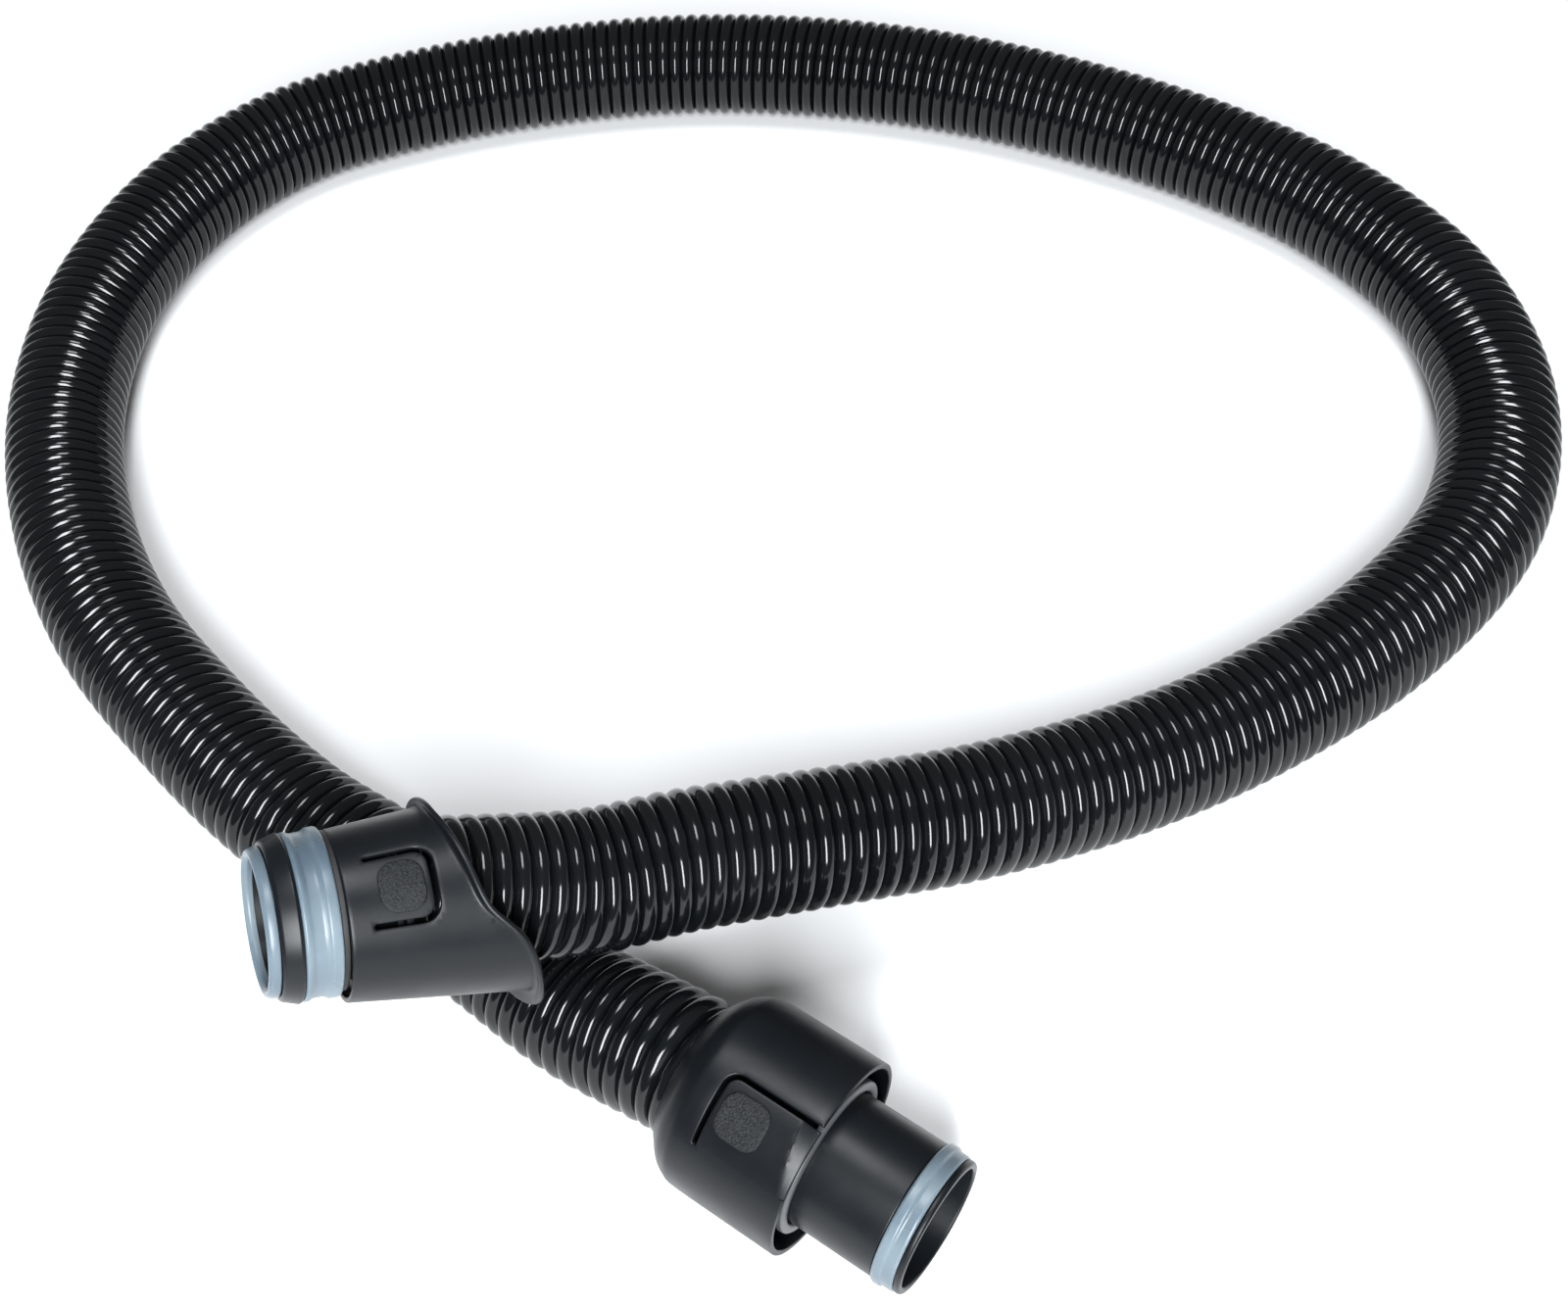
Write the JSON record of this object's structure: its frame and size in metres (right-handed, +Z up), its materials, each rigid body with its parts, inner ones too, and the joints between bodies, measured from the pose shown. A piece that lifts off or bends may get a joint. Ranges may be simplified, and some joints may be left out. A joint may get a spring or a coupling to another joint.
{
  "type": "vacuum cleaner hose",
  "caption": "Ribbed suction hose lying in an open loop, with a swivelling latched inlet fitting at one end and a swivelling latched wand collar at the other.",
  "frame": {"origin": "on the floor below the middle of the two end fittings' common bounding box", "axes": "+Z up from the floor, +X to the right and +Y away from a viewer who looks at the crossing of the loop"},
  "size_m": [0.5763, 0.5634, 0.1177],
  "materials": {
    "hose_black": "glossy black ribbed hose wall",
    "shell_grey": "satin dark grey moulded plastic",
    "pad_grain": "fine grained grip surface",
    "flange_grey": "satin mid grey",
    "seal_milky": "milky translucent silicone",
    "rubber_dark": "dark sealing rubber",
    "cuff_dark": "plain black plastic"
  },
  "bodies": {
    "hose": {"hose_tube": "hose_black", "wand_hose_cuff": "cuff_dark", "wand_retaining_ring": "shell_grey", "wand_swivel_seal": "rubber_dark", "inlet_hose_cuff": "cuff_dark", "inlet_retaining_ring": "shell_grey", "inlet_swivel_seal": "rubber_dark"},
    "wand_fitting": {"wand_spigot": "shell_grey", "wand_tip_seal": "seal_milky", "wand_flange_ring": "flange_grey", "wand_collar": "shell_grey"},
    "wand_latch": {"wand_latch": "shell_grey", "wand_latch_pad": "pad_grain"},
    "inlet_fitting": {"inlet_spigot": "shell_grey", "inlet_front_seal": "seal_milky", "inlet_clamp_ring": "shell_grey", "inlet_rear_seal": "seal_milky", "inlet_seal_washer": "rubber_dark", "inlet_shell": "shell_grey"},
    "inlet_latch_left": {"inlet_latch_left": "shell_grey", "inlet_latch_pad_left": "pad_grain"},
    "inlet_latch_right": {"inlet_latch_right": "shell_grey", "inlet_latch_pad_right": "pad_grain"}
  },
  "joints": [
    {"name": "wand_swivel", "type": "hinge", "parent": "hose", "child": "wand_fitting", "pos_m": [0.0578, -0.0254, 0.0302], "axis": [0.7848, -0.6198, 0], "continuous": true},
    {"name": "wand_latch_press", "type": "hinge", "parent": "wand_fitting", "child": "wand_latch", "pos_m": [0.03305, -0.03415, 0.04916], "axis": [-0.7848, 0.6198, 0], "range_deg": [0, 5], "stiffness_Nm_per_rad": 0.5},
    {"name": "inlet_swivel", "type": "hinge", "parent": "hose", "child": "inlet_fitting", "pos_m": [-0.0897, 0.0238, 0.0985], "axis": [-0.913, -0.2844, 0.2924], "continuous": true},
    {"name": "inlet_latch_left_press", "type": "hinge", "parent": "inlet_fitting", "child": "inlet_latch_left", "pos_m": [-0.05629, 0.02407, 0.11042], "axis": [-0.1515, 0.9021, 0.4042], "range_deg": [0, 4], "stiffness_Nm_per_rad": 0.5},
    {"name": "inlet_latch_right_press", "type": "hinge", "parent": "inlet_fitting", "child": "inlet_latch_right", "pos_m": [-0.07363, 0.03894, 0.07073], "axis": [0.1515, -0.9021, -0.4042], "range_deg": [0, 4], "stiffness_Nm_per_rad": 0.5}
  ]
}
